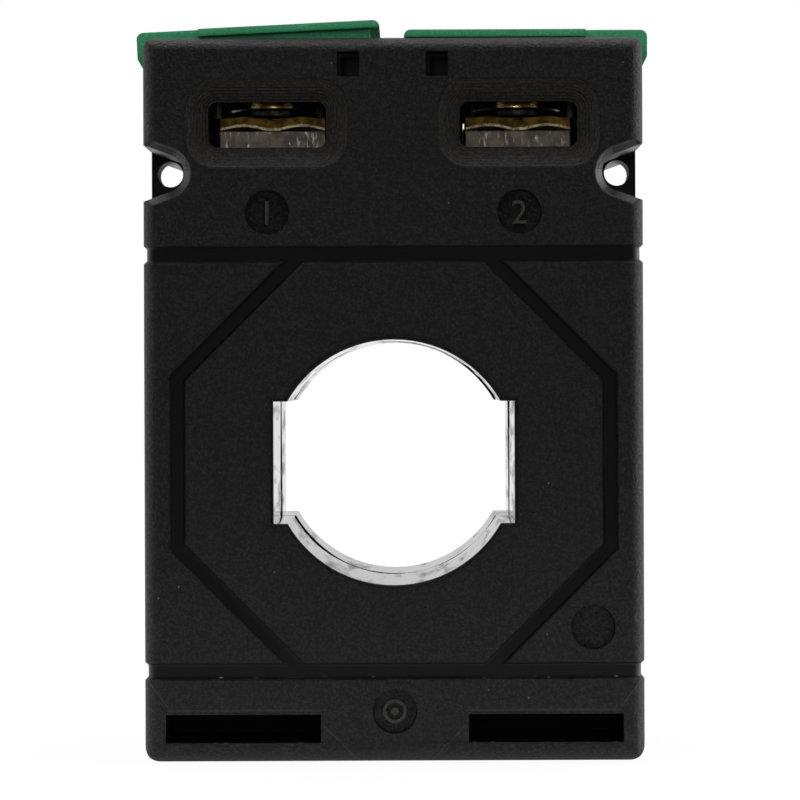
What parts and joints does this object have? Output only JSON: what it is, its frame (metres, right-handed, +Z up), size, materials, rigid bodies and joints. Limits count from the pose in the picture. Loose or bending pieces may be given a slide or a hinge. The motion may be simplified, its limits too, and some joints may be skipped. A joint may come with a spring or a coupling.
{
  "type": "window-type current transformer",
  "caption": "Moulded window-type current transformer: opening for a round cable or busbar, screw terminals on top under hinged green covers, sockets for clip-on feet.",
  "frame": {"origin": "middle of the four feet's undersides, below the centre of the housing", "axes": "+Z up along the housing's height; the primary conductor runs along Y and the marked front face looks along -Y; +X to the right when looking at that face"},
  "size_m": [0.0451, 0.03, 0.0655],
  "materials": {
    "housing": "fine moulded grain",
    "cover": "satin",
    "terminal_bar": "plated, mottled",
    "saddle": "yellow passivated",
    "washer": "plated",
    "screw": "yellow passivated",
    "core": "wound strip",
    "wrap": "polyester film",
    "winding": "enamelled copper",
    "tape": "adhesive tape",
    "red_lead": "insulated wire",
    "grey_lead": "insulated wire",
    "foam": "soft foam"
  },
  "bodies": {
    "housing": {"front_housing": "housing", "rear_housing": "housing", "left_terminal_bar": "terminal_bar", "right_terminal_bar": "terminal_bar", "ring_core": "core", "core_wrap": "wrap", "secondary_winding": "winding", "winding_tape": "tape", "left_lead": "red_lead", "right_lead": "grey_lead", "front_core_pad": "foam", "rear_core_pad": "foam"},
    "left_cover": {"left_cover": "cover"},
    "right_cover": {"right_cover": "cover"},
    "left_front_clamp": {"left_front_saddle": "saddle", "left_front_washer": "washer"},
    "left_front_screw": {"left_front_screw": "screw"},
    "left_rear_clamp": {"left_rear_saddle": "saddle", "left_rear_washer": "washer"},
    "left_rear_screw": {"left_rear_screw": "screw"},
    "right_front_clamp": {"right_front_saddle": "saddle", "right_front_washer": "washer"},
    "right_front_screw": {"right_front_screw": "screw"},
    "right_rear_clamp": {"right_rear_saddle": "saddle", "right_rear_washer": "washer"},
    "right_rear_screw": {"right_rear_screw": "screw"}
  },
  "joints": [
    {"name": "left_cover_hinge", "type": "hinge", "parent": "housing", "child": "left_cover", "pos_m": [-0.0197, 0, 0.0612], "axis": [0, -1, 0], "range_deg": [-2.7, 87.3]},
    {"name": "right_cover_hinge", "type": "hinge", "parent": "housing", "child": "right_cover", "pos_m": [0.0197, 0, 0.0612], "axis": [0, 1, 0], "range_deg": [0, 90]},
    {"name": "left_front_clamp_lift", "type": "slide", "parent": "housing", "child": "left_front_clamp", "axis": [0, 0, 1], "range_m": [0, 0.00245]},
    {"name": "left_front_screw_turn", "type": "hinge", "parent": "left_front_clamp", "child": "left_front_screw", "pos_m": [-0.0107, -0.007, 0.058], "axis": [0, 0, 1], "range_deg": [0, 1260]},
    {"name": "left_rear_clamp_lift", "type": "slide", "parent": "housing", "child": "left_rear_clamp", "axis": [0, 0, 1], "range_m": [0, 0.00245]},
    {"name": "left_rear_screw_turn", "type": "hinge", "parent": "left_rear_clamp", "child": "left_rear_screw", "pos_m": [-0.0107, 0.007, 0.058], "axis": [0, 0, 1], "range_deg": [0, 1260]},
    {"name": "right_front_clamp_lift", "type": "slide", "parent": "housing", "child": "right_front_clamp", "axis": [0, 0, 1], "range_m": [0, 0.00245]},
    {"name": "right_front_screw_turn", "type": "hinge", "parent": "right_front_clamp", "child": "right_front_screw", "pos_m": [0.0111, -0.007, 0.058], "axis": [0, 0, 1], "range_deg": [0, 1260]},
    {"name": "right_rear_clamp_lift", "type": "slide", "parent": "housing", "child": "right_rear_clamp", "axis": [0, 0, 1], "range_m": [0, 0.00245]},
    {"name": "right_rear_screw_turn", "type": "hinge", "parent": "right_rear_clamp", "child": "right_rear_screw", "pos_m": [0.0111, 0.007, 0.058], "axis": [0, 0, 1], "range_deg": [0, 1260]}
  ],
  "couplings": [
    {"joint": "left_front_screw_turn", "follows": "left_front_clamp_lift", "rad_per_m": 8976},
    {"joint": "left_rear_screw_turn", "follows": "left_rear_clamp_lift", "rad_per_m": 8976},
    {"joint": "right_front_screw_turn", "follows": "right_front_clamp_lift", "rad_per_m": 8976},
    {"joint": "right_rear_screw_turn", "follows": "right_rear_clamp_lift", "rad_per_m": 8976}
  ]
}
